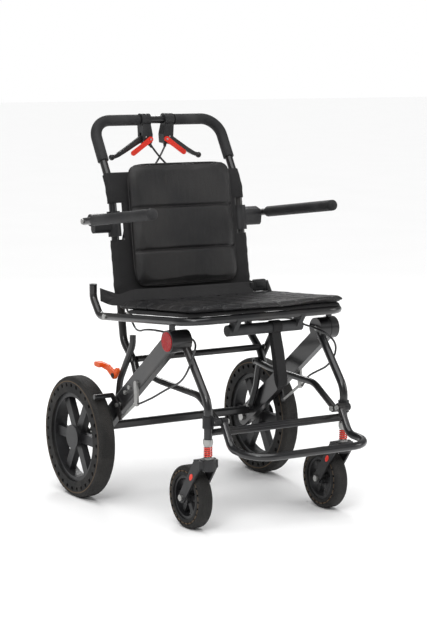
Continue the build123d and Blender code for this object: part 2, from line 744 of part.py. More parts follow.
# ---------------------------------------------------------------- front legs
leg_top = (hub_point[0] - 8, hub_point[1] - 8 * tan(radians(49.9)))
front_crossbar_z = 240
with BuildPart() as front_legs:
    disc(-leg_x, leg_x, (stem_y, front_crossbar_z), 16, 16 - 2 * tube_wall)
    for side, way in sides:
        post(front_crossbar_z - 30, front_crossbar_z + 30, (way * leg_x, stem_y),
             leg_diameter + 2 * running_gap, mode=Mode.SUBTRACT)
    for side, way in sides:
        x = way * leg_x
        tube([(x, *leg_top), (x, stem_y, leg_bend_z), (x, stem_y, leg_foot_z)], [60], leg_diameter)
        disc(way * (leg_x - leg_diameter / 2 + 1.5), way * disc_outer_x, hub_point, hub_diameter - 2)
        disc(way * (leg_x - 20), way * (leg_x + 30), hub_point, hub_pin_diameter + 2 * running_gap,
             mode=Mode.SUBTRACT)
save("front_legs", front_legs.part)

bush_z = 214
leg_bore = leg_diameter - 2 * tube_wall

# footrest brackets clamp round the legs and carry the footrest and front strut bolts
bracket_bottom_z = 251
bracket_top_z = 279
foot_bolt_diameter = 6
boss_inner_x = footrest_x + footrest_diameter / 2 + piece_gap
with BuildPart() as footrest_brackets:
    for side, way in sides:
        post(bracket_bottom_z, bracket_top_z, (way * leg_x, stem_y), leg_diameter + 7)
        link(way * boss_inner_x, way * (leg_x - 2), [(*footrest_pivot, 9), (stem_y, 265, 9)])
        post(bracket_bottom_z - 5, bracket_top_z + 5, (way * leg_x, stem_y),
             leg_diameter + 2 * running_gap, mode=Mode.SUBTRACT)
        disc(way * (boss_inner_x - 5), way * (leg_x + 20), footrest_pivot,
             foot_bolt_diameter + 2 * running_gap, mode=Mode.SUBTRACT)
        disc(way * (boss_inner_x - 5), way * (leg_x - leg_diameter / 2), strut_front,
             strut_bolt_diameter + 2 * running_gap, mode=Mode.SUBTRACT)
save("footrest_brackets", footrest_brackets.part)

with BuildPart() as leg_fittings:
    for side, way in sides:
        post(bush_z, leg_foot_z - running_gap, (way * leg_x, stem_y), leg_diameter + 4,
             stem_diameter + 2 * running_gap)
        post(leg_foot_z - running_gap, leg_foot_z + 24, (way * leg_x, stem_y), leg_bore - 2 * running_gap,
             stem_diameter + 2 * running_gap)
        post(bush_z - 5, bush_z, (way * leg_x, stem_y), leg_diameter + 1,
             stem_diameter + 2 * running_gap)
        disc(way * (front_strut_x - 10), way * (leg_x - leg_diameter / 2 - 1), strut_front,
             strut_bolt_diameter)
        disc(way * (front_strut_x - 12), way * (front_strut_x - strut_diameter / 2 - piece_gap),
             strut_front, 13)
        disc(way * (footrest_x - 12), way * (leg_x - 3), footrest_pivot, foot_bolt_diameter)
        disc(way * (footrest_x - 14), way * (footrest_x - footrest_diameter / 2 - piece_gap),
             footrest_pivot, 12)
save("leg_fittings", leg_fittings.part)

# ---------------------------------------------------------------- footrest
with BuildPart() as footrest_tube:
    foot_half = [
        (footrest_x, *footrest_pivot),
        (footrest_x, -296, footrest_z + 6),
        (footrest_x, footrest_front_y, footrest_z),
    ]
    foot_points = foot_half + [(-x, y, z) for x, y, z in reversed(foot_half)]
    tube(foot_points, [30, 60, 60, 30], footrest_diameter)
    thin_bar = (-276, 243)
    thin_reach = footrest_x - footrest_diameter / 2 + 3
    disc(-thin_reach, thin_reach, thin_bar, 8)
    for side, way in sides:
        disc(way * (footrest_x - footrest_eye_half), way * (footrest_x + footrest_eye_half),
             footrest_pivot, footrest_diameter + 2)
        disc(way * (footrest_x - 12), way * (footrest_x + 12), footrest_pivot,
             foot_bolt_diameter + 2 * running_gap, mode=Mode.SUBTRACT)
save("footrest_tube", footrest_tube.part)

# ---------------------------------------------------------------- casters
crown_top_z = 178
crown_bottom_z = 152
spring_bottom_z = crown_top_z + piece_gap + 4
spring_top_z = bush_z - 5
spring_turns = 5
caster_axle = (caster_y, caster_radius)
fork_arm = 5
fork_gap = 2.5
caster_axle_diameter = 8
for side, way in sides:
    centre = (way * leg_x, stem_y)
    with BuildPart() as caster_stem:
        post(crown_bottom_z + 4, leg_foot_z + 40, centre, stem_diameter)
        post(crown_top_z + piece_gap, spring_bottom_z, centre, leg_diameter + 3)
    save(f"caster_stem_{side}", caster_stem.part)

    with BuildPart() as caster_spring:
        wire = 3
        coil_radius = 9
        coil_bottom_z = spring_bottom_z + wire / 2 + running_gap
        coil_height = spring_top_z - spring_bottom_z - wire - 2 * running_gap
        coil = Helix(pitch=coil_height / spring_turns, height=coil_height, radius=coil_radius,
                     center=(way * leg_x, stem_y, coil_bottom_z))
        with BuildSketch(Plane(origin=coil @ 0, z_dir=coil % 0)) as wire_section:
            Circle(wire / 2)
        sweep(wire_section.sketch, path=coil)
    save(f"caster_spring_{side}", caster_spring.part)

    with BuildPart() as caster_fork:
        post(crown_bottom_z, crown_top_z, centre, 36)
        for arm_side in (1, -1):
            arm_start = way * caster_x + arm_side * (caster_width / 2 + fork_gap)
            link(arm_start, arm_start + arm_side * fork_arm, [
                (*caster_axle, 13),
                (stem_y + 10, crown_bottom_z + 12, 14),
            ])
        half_span = caster_width / 2 + fork_gap + fork_arm
        with BuildSketch(Plane.XY.offset(crown_bottom_z + 6)) as bridge:
            with Locations((way * caster_x, stem_y + 8)):
                RectangleRounded(2 * half_span, 32, 4)
        extrude(bridge.sketch, amount=crown_top_z - crown_bottom_z - 8)
        post(crown_bottom_z - 5, crown_top_z + 5, centre, stem_diameter + 2 * running_gap,
             mode=Mode.SUBTRACT)
        disc(way * caster_x - 2 * half_span, way * caster_x + 2 * half_span, caster_axle,
             caster_axle_diameter + 2 * running_gap, mode=Mode.SUBTRACT)
    save(f"caster_fork_{side}", caster_fork.part)

    with BuildPart() as caster_axle_bolt:
        half_bolt = half_span + 1.5
        disc(way * caster_x - half_bolt, way * caster_x + half_bolt, caster_axle, caster_axle_diameter)
        for arm_side in (1, -1):
            head_start = way * caster_x + arm_side * (half_span + running_gap)
            disc(head_start, head_start + arm_side * 5, caster_axle, 15)
    save(f"caster_axle_{side}", caster_axle_bolt.part)


def wheel_ring(centre_x, axle, outer, inner, width, rounding):
    """A ring round the axle with rounded outer corners."""
    disc(centre_x - width / 2, centre_x + width / 2, axle, 2 * outer)
    rims = [edge for edge in edges().filter_by(GeomType.CIRCLE)
            if abs(edge.radius - outer) < 0.01]
    fillet(rims, radius=rounding)
    disc(centre_x - width / 2 - 1, centre_x + width / 2 + 1, axle, 2 * inner, mode=Mode.SUBTRACT)


def side_holes(centre_x, axle, width, ring_radius, count, diameter, depth):
    """A ring of round pockets in both side walls of a solid tyre."""
    for face_side in (1, -1):
        face_x = centre_x + face_side * width / 2
        with BuildSketch(Plane.YZ.offset(min(face_x, face_x - face_side * depth))) as pockets:
            with Locations(axle):
                with PolarLocations(ring_radius, count):
                    Circle(diameter / 2)
        extrude(pockets.sketch, amount=depth, mode=Mode.SUBTRACT)


def spoked_rim(centre_x, axle, outer, inner, width, hub_radius, hub_width, spokes, spoke_width, bore):
    """A moulded rim: hoop, hub and flat spokes."""
    disc(centre_x - width / 2, centre_x + width / 2, axle, 2 * outer, 2 * inner)
    disc(centre_x - hub_width / 2, centre_x + hub_width / 2, axle, 2 * hub_radius)
    middle = (hub_radius + inner) / 2
    with BuildSketch(Plane.YZ.offset(centre_x - width / 4)) as arms:
        with Locations(axle):
            with PolarLocations(middle, spokes):
                Rectangle(inner - hub_radius + 6, spoke_width)
    extrude(arms.sketch, amount=width / 2)
    disc(centre_x - hub_width / 2 - 1, centre_x + hub_width / 2 + 1, axle, bore, mode=Mode.SUBTRACT)


caster_rim_radius = 52
caster_bearing_diameter = 22
caster_bearing_width = 7
rear_rim_radius = 112
rear_bearing_diameter = 32
rear_bearing_width = 10
for side, way in sides:
    with BuildPart() as caster_tyre:
        wheel_ring(way * caster_x, caster_axle, caster_radius, caster_rim_radius + running_gap,
                   caster_width, 9)
        side_holes(way * caster_x, caster_axle, caster_width, 62.5, 24, 6, 7)
    save(f"caster_tyre_{side}", caster_tyre.part)

    with BuildPart() as caster_rim:
        spoked_rim(way * caster_x, caster_axle, caster_rim_radius, caster_rim_radius - 7, caster_width - 6,
                   16, caster_width - 2, 6, 13, caster_bearing_diameter + 2 * running_gap)
    save(f"caster_rim_{side}", caster_rim.part)

    with BuildPart() as rear_tyre:
        wheel_ring(way * rear_wheel_x, axle_point, rear_wheel_radius, rear_rim_radius + running_gap,
                   rear_tyre_width, 11)
        side_holes(way * rear_wheel_x, axle_point, rear_tyre_width, 131, 32, 10, 10)
    save(f"rear_tyre_{side}", rear_tyre.part)

    with BuildPart() as rear_rim:
        spoked_rim(way * rear_wheel_x, axle_point, rear_rim_radius, rear_rim_radius - 11,
                   rear_tyre_width - 11, 26, rear_tyre_width - 7, 6, 24,
                   rear_bearing_diameter + 2 * running_gap)
    save(f"rear_rim_{side}", rear_rim.part)

    with BuildPart() as hub_cap:
        cap_start = way * (rear_wheel_x + rear_tyre_width / 2 - 3.5 + running_gap)
        disc(cap_start, cap_start + way * 3, axle_point, 62)
        for step in (-1, 1):
            bearing_x = way * rear_wheel_x + step * 13
            disc(bearing_x - rear_bearing_width / 2, bearing_x + rear_bearing_width / 2, axle_point,
                 rear_bearing_diameter, rear_axle_diameter + 2 * running_gap)
    save(f"hub_cap_and_bearings_{side}", hub_cap.part)

    with BuildPart() as caster_bearings:
        for step in (-1, 1):
            bearing_x = way * caster_x + step * 12
            disc(bearing_x - caster_bearing_width / 2, bearing_x + caster_bearing_width / 2, caster_axle,
                 caster_bearing_diameter, caster_axle_diameter + 2 * running_gap)
    save(f"caster_bearings_{side}", caster_bearings.part)
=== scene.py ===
import json
import math
import bmesh
import bpy
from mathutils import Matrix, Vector, noise

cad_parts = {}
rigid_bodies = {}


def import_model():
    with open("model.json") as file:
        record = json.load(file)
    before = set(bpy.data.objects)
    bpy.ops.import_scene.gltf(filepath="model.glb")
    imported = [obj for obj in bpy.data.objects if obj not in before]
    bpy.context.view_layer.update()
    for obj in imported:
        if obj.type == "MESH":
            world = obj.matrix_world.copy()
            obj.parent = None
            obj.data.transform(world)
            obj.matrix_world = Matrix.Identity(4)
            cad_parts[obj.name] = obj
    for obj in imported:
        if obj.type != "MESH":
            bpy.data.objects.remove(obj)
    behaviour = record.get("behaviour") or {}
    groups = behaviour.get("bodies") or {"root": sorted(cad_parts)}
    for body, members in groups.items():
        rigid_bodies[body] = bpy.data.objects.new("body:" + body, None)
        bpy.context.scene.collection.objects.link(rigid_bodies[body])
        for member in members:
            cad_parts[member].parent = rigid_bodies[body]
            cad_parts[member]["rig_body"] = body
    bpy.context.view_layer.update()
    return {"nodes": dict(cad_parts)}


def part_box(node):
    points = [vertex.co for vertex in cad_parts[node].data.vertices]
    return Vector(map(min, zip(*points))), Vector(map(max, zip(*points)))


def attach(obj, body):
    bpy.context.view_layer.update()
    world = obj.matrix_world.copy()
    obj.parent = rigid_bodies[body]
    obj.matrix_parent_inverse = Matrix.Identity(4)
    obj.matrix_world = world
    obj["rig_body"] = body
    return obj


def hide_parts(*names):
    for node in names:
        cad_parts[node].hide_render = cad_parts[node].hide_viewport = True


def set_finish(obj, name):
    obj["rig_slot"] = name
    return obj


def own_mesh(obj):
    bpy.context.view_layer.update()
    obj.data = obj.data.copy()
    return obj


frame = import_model()
print("frame loaded:", len(frame["nodes"]), "nodes")


class Val:
    # one shader value; sums on it add their own nodes
    def __init__(self, finish, link):
        self.finish = finish
        self.link = link

    def op(self, kind, first, second=0.0):
        return self.finish.node("ShaderNodeMath", {"operation": kind}, {0: first, 1: second})

    def __add__(self, other): return self.op("ADD", self, other)
    def __radd__(self, other): return self.op("ADD", other, self)
    def __sub__(self, other): return self.op("SUBTRACT", self, other)
    def __rsub__(self, other): return self.op("SUBTRACT", other, self)
    def __mul__(self, other): return self.op("MULTIPLY", self, other)
    def __rmul__(self, other): return self.op("MULTIPLY", other, self)
    def __pow__(self, other): return self.op("POWER", self, other)
    def __abs__(self): return self.op("ABSOLUTE", self)
    def sine(self): return self.op("SINE", self)

    def out(self, name):
        return Val(self.finish, self.link.node.outputs[name])


class Finish:
    # a material with its principled shader; uniform values go on the shader's own sockets
    def __init__(self, name, look):
        self.material = bpy.data.materials.new(name)
        self.material.use_nodes = True
        self.tree = self.material.node_tree
        self.shader = self.tree.nodes["Principled BSDF"]
        for socket, value in look.items():
            self.shader.inputs[socket].default_value = value
        self.where = self.node("ShaderNodeTexCoord").out("Object")

    def node(self, kind, settings=None, inputs=None):
        made = self.tree.nodes.new(kind)
        for key, value in (settings or {}).items():
            setattr(made, key, value)
        for key, value in (inputs or {}).items():
            if isinstance(value, Val):
                self.tree.links.new(value.link, made.inputs[key])
            else:
                made.inputs[key].default_value = value
        return Val(self, made.outputs[0])

    def feed(self, socket, value):
        self.tree.links.new(value.link, self.shader.inputs[socket])

    def stretched(self, amounts):
        return self.node("ShaderNodeVectorMath", {"operation": "MULTIPLY"}, {0: self.where, 1: amounts})

    def axes(self):
        parts = self.node("ShaderNodeSeparateXYZ", None, {0: self.where})
        return parts.out("X"), parts.out("Y"), parts.out("Z")

    def grain(self, scale, detail=3.0, stretch=(1, 1, 1)):
        return self.node("ShaderNodeTexNoise", None,
                         {"Vector": self.stretched(stretch), "Scale": scale, "Detail": detail})

    def cells(self, scale, feature="F1"):
        return self.node("ShaderNodeTexVoronoi", {"feature": feature},
                         {"Vector": self.where, "Scale": scale})

    def step(self, value, low, high):
        return self.node("ShaderNodeMapRange", {"interpolation_type": "SMOOTHSTEP"},
                         {"Value": value, "From Min": low, "From Max": high})

    def mix(self, share, first, second):
        # colour inputs and output of the Mix node sit at 6, 7 and 2
        made = self.node("ShaderNodeMix", {"data_type": "RGBA"}, {0: share})
        for slot, colour in ((6, first), (7, second)):
            if isinstance(colour, Val):
                self.tree.links.new(colour.link, made.link.node.inputs[slot])
            else:
                made.link.node.inputs[slot].default_value = (*colour, 1)
        return Val(self, made.link.node.outputs[2])

    def relief(self, height, depth, strength=1.0):
        self.feed("Normal", self.node("ShaderNodeBump", None,
                                      {"Height": height, "Distance": depth, "Strength": strength}))


paintLook = {
    "black_powder_coat": {"deep": (0.006, 0.006, 0.007), "dusty": (0.020, 0.018, 0.017),
                          "rough": 0.24, "coat": 0.35},
    "black_paint": {"deep": (0.010, 0.010, 0.011), "dusty": (0.026, 0.025, 0.024),
                    "rough": 0.36, "coat": 0.10},
}


def paintedSteel(name, look):
    finish = Finish(name, {"Coat Weight": look["coat"], "Coat Roughness": 0.12, "Specular IOR Level": 0.42})
    handled = finish.grain(9, 4)
    peel = finish.grain(520, 2)
    fleck = finish.step(finish.grain(150, 5), 0.66, 0.74)
    colour = finish.mix(finish.step(handled, 0.42, 0.72), look["deep"], look["dusty"])
    finish.feed("Base Color", finish.mix(fleck * 0.35, colour, (0.05, 0.047, 0.044)))
    finish.feed("Roughness", look["rough"] + handled * 0.14 + fleck * 0.1)
    finish.relief(peel, 0.0003, 0.35)
    return finish.material


plasticLook = {
    "black_plastic": {"deep": (0.011, 0.011, 0.012), "worn": (0.030, 0.030, 0.031),
                      "rough": 0.36, "grain": 1100},
    "grey_plastic": {"deep": (0.020, 0.021, 0.022), "worn": (0.048, 0.048, 0.050),
                     "rough": 0.42, "grain": 900},
    "wheel_plastic": {"deep": (0.010, 0.010, 0.011), "worn": (0.028, 0.028, 0.029),
                      "rough": 0.33, "grain": 1300},
    "orange_plastic": {"deep": (0.80, 0.085, 0.008), "worn": (0.88, 0.15, 0.03),
                       "rough": 0.34, "grain": 1200},
    "red_plastic": {"deep": (0.72, 0.022, 0.010), "worn": (0.80, 0.06, 0.03), "rough": 0.30, "grain": 1200},
}


def mouldedPlastic(name, look):
    finish = Finish(name, {"Specular IOR Level": 0.3})
    flow = finish.grain(14, 4)
    texture = finish.cells(look["grain"])
    scuff = finish.step(finish.grain(60, 6, (1, 1, 3)), 0.62, 0.72)
    colour = finish.mix(finish.step(flow, 0.35, 0.75), look["deep"], look["worn"])
    finish.feed("Base Color", finish.mix(scuff * 0.3, colour, look["worn"]))
    finish.feed("Roughness", look["rough"] + flow * 0.12 + scuff * 0.12)
    finish.relief(texture, 0.00025, 0.4)
    return finish.material


metalLook = {
    "zinc_steel": {"deep": (0.30, 0.30, 0.29), "worn": (0.52, 0.52, 0.51), "rough": 0.30},
    "bearing_steel": {"deep": (0.46, 0.46, 0.47), "worn": (0.62, 0.62, 0.63), "rough": 0.20},
}


def bareSteel(name, look):
    finish = Finish(name, {"Metallic": 1.0})
    bloom = finish.grain(70, 5)
    turned = finish.grain(260, 2, (1, 8, 8))
    finish.feed("Base Color", finish.mix(bloom, look["deep"], look["worn"]))
    finish.feed("Roughness", look["rough"] + turned * 0.14 + bloom * 0.08)
    finish.relief(turned, 0.0002, 0.3)
    return finish.material


weaveLook = {
    "black_nylon": {"deep": (0.008, 0.008, 0.009), "lit": (0.030, 0.029, 0.029), "pitch": 2600,
                    "rough": 0.62},
    "black_webbing": {"deep": (0.007, 0.007, 0.008), "lit": (0.034, 0.033, 0.033), "pitch": 1900,
                      "rough": 0.66},
}


def wovenCloth(name, look):
    # two sets of threads, over and under
    finish = Finish(name, {"Sheen Weight": 0.03, "Sheen Roughness": 0.4, "Specular IOR Level": 0.2})
    x, y, z = finish.axes()
    along = ((y + z) * look["pitch"]).sine()
    across = (x * look["pitch"]).sine()
    threads = abs(along * across)
    fade = finish.grain(11, 4)
    # thread crowns get the lighter colour as a painted highlight; the fade patches below mix towards the same
    # colour as random fading
    colour = finish.mix(threads, look["deep"], look["lit"])
    finish.feed("Base Color", finish.mix(finish.step(fade, 0.4, 0.8) * 0.4, colour, look["lit"]))
    finish.feed("Roughness", look["rough"] + fade * 0.16)
    finish.relief(threads + finish.grain(45, 3) * 0.8, 0.0005, 0.7)
    return finish.material


leatherLook = {"deep": (0.007, 0.007, 0.008), "lit": (0.019, 0.018, 0.018), "foldHighlight": (0.034, 0.026, 0.020),
               "rough": 0.33, "pebble": 620, "crease": 34}


def leatherette(name, look):
    finish = Finish(name, {"Specular IOR Level": 0.34})
    pebbles = finish.cells(look["pebble"], "DISTANCE_TO_EDGE")
    folds = finish.grain(look["crease"], 4, (2.6, 1, 0.7))
    tone = finish.grain(6, 3)
    colour = finish.mix(finish.step(tone, 0.35, 0.7), look["deep"], look["lit"])
    # fold crests are mixed towards a brownish colour as a painted highlight, standing in for the brownish
    # sheen of light on the leather
    finish.feed("Base Color", finish.mix(finish.step(folds, 0.6, 0.8) * 0.25, colour, look["foldHighlight"]))
    finish.feed("Roughness", look["rough"] + tone * 0.12 + finish.step(pebbles, 0.25, 0.0) * 0.1)
    finish.relief(finish.step(pebbles, 0.0, 0.22) * 0.25 + folds * 1.6, 0.0011, 0.5)
    return finish.material


def softFoam(name):
    finish = Finish(name, {"Sheen Weight": 0.03, "Sheen Roughness": 0.5, "Specular IOR Level": 0.25})
    pores = finish.cells(1500)
    rub = finish.grain(16, 4)
    rubbed = finish.step(rub, 0.35, 0.75)
    finish.feed("Base Color", finish.mix(rubbed, (0.012, 0.012, 0.013), (0.032, 0.032, 0.033)))
    finish.feed("Roughness", 0.55 + rub * 0.2)
    finish.relief(pores, 0.0003, 0.6)
    return finish.material


def cableSheath(name):
    finish = Finish(name, {"Coat Weight": 0.2, "Coat Roughness": 0.2})
    tone = finish.grain(40, 3)
    finish.feed("Base Color", finish.mix(tone, (0.010, 0.010, 0.011), (0.022, 0.022, 0.023)))
    finish.feed("Roughness", 0.28 + tone * 0.14)
    finish.relief(finish.grain(800, 2), 0.0002, 0.3)
    return finish.material


def prismLens(name):
    finish = Finish(name, {"Specular IOR Level": 0.25})
    prisms = finish.cells(330, "DISTANCE_TO_EDGE")
    edge = finish.step(prisms, 0.02, 0.16)
    finish.feed("Base Color", finish.mix(edge, (0.10, 0.001, 0.002), (0.46, 0.004, 0.008)))
    finish.feed("Roughness", 0.12 + edge * 0.14)
    finish.relief(edge, 0.0006, 0.6)
    return finish.material


def springPaint(name):
    finish = Finish(name, {"Coat Weight": 0.5, "Coat Roughness": 0.1})
    tone = finish.grain(120, 4)
    finish.feed("Base Color", finish.mix(tone, (0.55, 0.016, 0.008), (0.78, 0.05, 0.02)))
    finish.feed("Roughness", 0.25 + tone * 0.15)
    finish.relief(finish.grain(600, 2), 0.0002, 0.3)
    return finish.material


tyreLook = {"deep": (0.011, 0.011, 0.011), "worn": (0.034, 0.032, 0.030), "tan": (0.20, 0.13, 0.07),
            "blockDepth": 0.0032, "rearRibs": 90, "casterRibs": 46, "slant": 700, "tread": (0.010, 0.006),
            "lineAt": 0.0125}


def tyreRubber(name, tyre, ribs):
    # knurled blocks on the tread and a thin moulded line on each wall
    finish = Finish(name, {"Specular IOR Level": 0.22})
    low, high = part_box(tyre)
    middle = (low + high) / 2
    radius = (high.z - low.z) / 2
    x, y, z = finish.axes()
    rise = z - middle.z
    run = y - middle.y
    reach = (rise * rise + run * run) ** 0.5
    turn = finish.node("ShaderNodeMath", {"operation": "ARCTAN2"}, {0: rise, 1: run})
    tread = finish.step(reach, radius - tyreLook["tread"][0], radius - tyreLook["tread"][1])
    slant = (turn * ribs + x * tyreLook["slant"]).sine() * (turn * ribs - x * tyreLook["slant"]).sine()
    line = finish.step(abs(reach - (radius - tyreLook["lineAt"])), 0.0016, 0.0007)
    dust = finish.grain(22, 5)
    colour = finish.mix(finish.step(dust, 0.4, 0.75), tyreLook["deep"], tyreLook["worn"])
    colour = finish.mix(tread * 0.35, colour, tyreLook["worn"])
    finish.feed("Base Color", finish.mix(line * 0.45, colour, tyreLook["tan"]))
    finish.feed("Roughness", 0.58 + dust * 0.2)
    finish.relief(finish.step(slant, -0.1, 0.25) * tread + finish.grain(700, 2) * 0.12,
                  tyreLook["blockDepth"], 0.8)
    return finish.material


finishes = {}
for slotName, look in paintLook.items():
    finishes[slotName] = paintedSteel(slotName + "Finish", look)
for slotName, look in plasticLook.items():
    finishes[slotName] = mouldedPlastic(slotName + "Finish", look)
for slotName, look in metalLook.items():
    finishes[slotName] = bareSteel(slotName + "Finish", look)
for slotName, look in weaveLook.items():
    finishes[slotName] = wovenCloth(slotName + "Finish", look)
finishes["black_leatherette"] = leatherette("seatLeatherette", leatherLook)
finishes["black_foam"] = softFoam("gripFoam")
finishes["cable_sheath"] = cableSheath("cableSheathing")
finishes["red_reflector"] = prismLens("reflectorLens")
finishes["red_spring"] = springPaint("springPaint")
tyres = []
for nodeName, node in frame["nodes"].items():
    slotName = node.material_slots[0].material.name.split(".")[0]
    if slotName == "black_rubber":
        ribs = tyreLook["rearRibs"] if nodeName.startswith("rear") else tyreLook["casterRibs"]
        node.material_slots[0].material = tyreRubber(nodeName + "Rubber", nodeName, ribs)
        tyres.append(nodeName)
    else:
        node.material_slots[0].material = finishes[slotName]
print("finishes made:", len(finishes) + len(tyres))


def rideOn(piece, slotName, body):
    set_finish(piece, slotName)
    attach(piece, body)


def addMesh(name, points, faces, slotName, smooth=True):
    mesh = bpy.data.meshes.new(name)
    mesh.from_pydata(points, [], faces)
    mesh.update()
    piece = bpy.data.objects.new(name, mesh)
    bpy.context.scene.collection.objects.link(piece)
    mesh.materials.append(finishes[slotName])
    mesh.polygons.foreach_set("use_smooth", [smooth] * len(mesh.polygons))
    return piece


def settle(piece):
    # keeps the result of the modifiers, or of a curve's bevel, as a plain mesh
    graph = bpy.context.evaluated_depsgraph_get()
    mesh = bpy.data.meshes.new_from_object(piece.evaluated_get(graph))
    if piece.type == "CURVE":
        body, slotName, name = piece["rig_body"], piece["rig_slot"], piece.name
        bpy.data.objects.remove(piece)
        piece = bpy.data.objects.new(name, mesh)
        bpy.context.scene.collection.objects.link(piece)
        rideOn(piece, slotName, body)
    piece.modifiers.clear()
    piece.data = mesh
    mesh.polygons.foreach_set("use_smooth", [True] * len(mesh.polygons))
    return piece


def modify(piece, kind, **settings):
    made = piece.modifiers.new(kind.lower(), kind)
    for key, value in settings.items():
        setattr(made, key, value)
    return settle(piece)


def pillow(name, halfX, low, high, corner, bottomAt, topAt, slotName):
    # closed pad lying in its own flat frame: x across, y along, z thick
    cells = 44
    halfY = (high - low) / 2
    midY = (high + low) / 2
    points, faces = [], []
    for face in (1, -1):
        for j in range(cells + 1):
            for i in range(cells + 1):
                x = (2 * i / cells - 1) * halfX
                y = (2 * j / cells - 1) * halfY
                overX = abs(x) - (halfX - corner)
                overY = abs(y) - (halfY - corner)
                if overX > 0 and overY > 0:
                    keep = max(overX, overY) / math.hypot(overX, overY)
                    x = math.copysign(halfX - corner + overX * keep, x)
                    y = math.copysign(halfY - corner + overY * keep, y)
                rim = min(1 - abs(2 * i / cells - 1), 1 - abs(2 * j / cells - 1)) * min(halfX, halfY)
                share = min(rim / 0.010, 1)
                share = math.sqrt(1 - (1 - share) ** 2)
                base, top = bottomAt(y + midY), topAt(y + midY)
                z = (base + top) / 2 + face * (top - base) / 2 * share
                points.append((x, y + midY, z))
        start = len(points) - (cells + 1) ** 2
        for j in range(cells):
            for i in range(cells):
                a = start + j * (cells + 1) + i
                quad = (a, a + 1, a + cells + 2, a + cells + 1)
                faces.append(quad if face > 0 else quad[::-1])
    piece = addMesh(name, points, faces, slotName)
    shape = bmesh.new()
    shape.from_mesh(piece.data)
    bmesh.ops.remove_doubles(shape, verts=shape.verts, dist=0.00001)
    shape.to_mesh(piece.data)
    shape.free()
    return piece


airLook = {"voxel": 0.005, "pressure": 4, "frames": 20, "quality": 4}


def puff(piece, cap):
    # fills the pad with air, then holds each point within cap of where it began
    modify(piece, "REMESH", mode="VOXEL", voxel_size=airLook["voxel"])
    start = [point.co.copy() for point in piece.data.vertices]
    cloth = piece.modifiers.new("fill", "CLOTH")
    cloth.settings.quality = airLook["quality"]
    cloth.settings.use_pressure = True
    cloth.settings.uniform_pressure_force = airLook["pressure"]
    cloth.settings.effector_weights.gravity = 0
    for step in range(1, airLook["frames"] + 1):
        bpy.context.scene.frame_set(step)
    settle(piece)
    bpy.context.scene.frame_set(1)
    for point, first in zip(piece.data.vertices, start):
        move = point.co - first
        if move.length > cap:
            point.co = first + move * (cap / move.length)
    modify(piece, "SMOOTH", factor=0.5, iterations=4)
    modify(piece, "SUBSURF", levels=1, render_levels=1)
    if not piece.data.materials[0]:
        piece.data.materials[0] = finishes["black_leatherette"]
    return piece


def fitOutline(piece, lowX, highX, lowY, highY):
    # brings the pad's outline back to its full size
    places = [point.co for point in piece.data.vertices]
    for axis, low, high in ((0, lowX, highX), (1, lowY, highY)):
        least = min(place[axis] for place in places)
        most = max(place[axis] for place in places)
        for place in places:
            place[axis] = low + (place[axis] - least) * (high - low) / (most - least)


def flatten(piece, axis, anchor):
    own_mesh(piece)


def cordCurve(name, points, thick, slotName, body, closed=False, order=3):
    curve = bpy.data.curves.new(name, "CURVE")
    curve.dimensions = "3D"
    curve.bevel_depth = thick / 2
    curve.bevel_resolution = 4
    curve.resolution_u = 12
    curve.use_fill_caps = not closed
    spline = curve.splines.new("NURBS")
    spline.points.add(len(points) - 1)
    for point, place in zip(spline.points, points):
        point.co = (*place, 1)
    spline.use_cyclic_u = closed
    spline.use_endpoint_u = not closed
    spline.order_u = order
    piece = bpy.data.objects.new(name, curve)
    bpy.context.scene.collection.objects.link(piece)
    curve.materials.append(finishes[slotName])
    rideOn(piece, slotName, body)
    return piece


def curved(points, share):
    # a place on the smooth line through the points
    spans = len(points) - 1
    at = min(int(share * spans), spans - 1)
    t = share * spans - at
    a, b = points[max(at - 1, 0)], points[at]
    c, d = points[at + 1], points[min(at + 2, spans)]
    return [0.5 * (2 * b[k] + (c[k] - a[k]) * t + (2 * a[k] - 5 * b[k] + 4 * c[k] - d[k]) * t * t
                   + (3 * b[k] - a[k] - 3 * c[k] + d[k]) * t ** 3) for k in range(len(b))]


def strap(name, stations, width, thick, body, slotName="black_webbing", steps=90):
    # each station is a place and the direction of the strap's width there
    points, faces = [], []
    for step in range(steps + 1):
        values = curved(stations, step / steps)
        place, side = Vector(values[:3]), Vector(values[3:]).normalized()
        for k in range(7):
            points.append(place + side * width * (k / 6 - 0.5))
    for step in range(steps):
        for k in range(6):
            a = step * 7 + k
            faces.append((a, a + 1, a + 8, a + 7))
    piece = addMesh(name, points, faces, slotName)
    modify(piece, "SOLIDIFY", thickness=thick, offset=0)
    modify(piece, "BEVEL", width=thick * 0.3, segments=2, limit_method="ANGLE")
    rideOn(piece, slotName, body)
    return piece


backLine = {"hinge": (0.18619, 0.4592), "lean": math.radians(80.84), "upperLean": math.radians(58.67),
            "bendAt": 0.3128, "bendSpan": 0.030, "tubeX": 0.184}


def backPlace(x, up, forward):
    # straight part of the back, up along it and forward of the tubes
    lean = backLine["lean"]
    return Vector((x, backLine["hinge"][0] + math.cos(lean) * up - math.sin(lean) * forward,
                   backLine["hinge"][1] + math.sin(lean) * up + math.cos(lean) * forward))


def bentPlace(x, up, forward):
    # follows the tubes over their bend
    at, span = backLine["bendAt"], backLine["bendSpan"]
    if up <= at - span:
        return backPlace(x, up, forward)
    place = backPlace(0, at - span, 0)
    left, lean = up - (at - span), backLine["lean"]
    slices = 24
    for step in range(slices):
        along = left * (step + 0.5) / slices
        share = min(along / (2 * span), 1)
        lean = backLine["lean"] + (backLine["upperLean"] - backLine["lean"]) * share
        place += Vector((0, math.cos(lean), math.sin(lean))) * (left / slices)
    return place + Vector((x, -math.sin(lean) * forward, math.cos(lean) * forward))


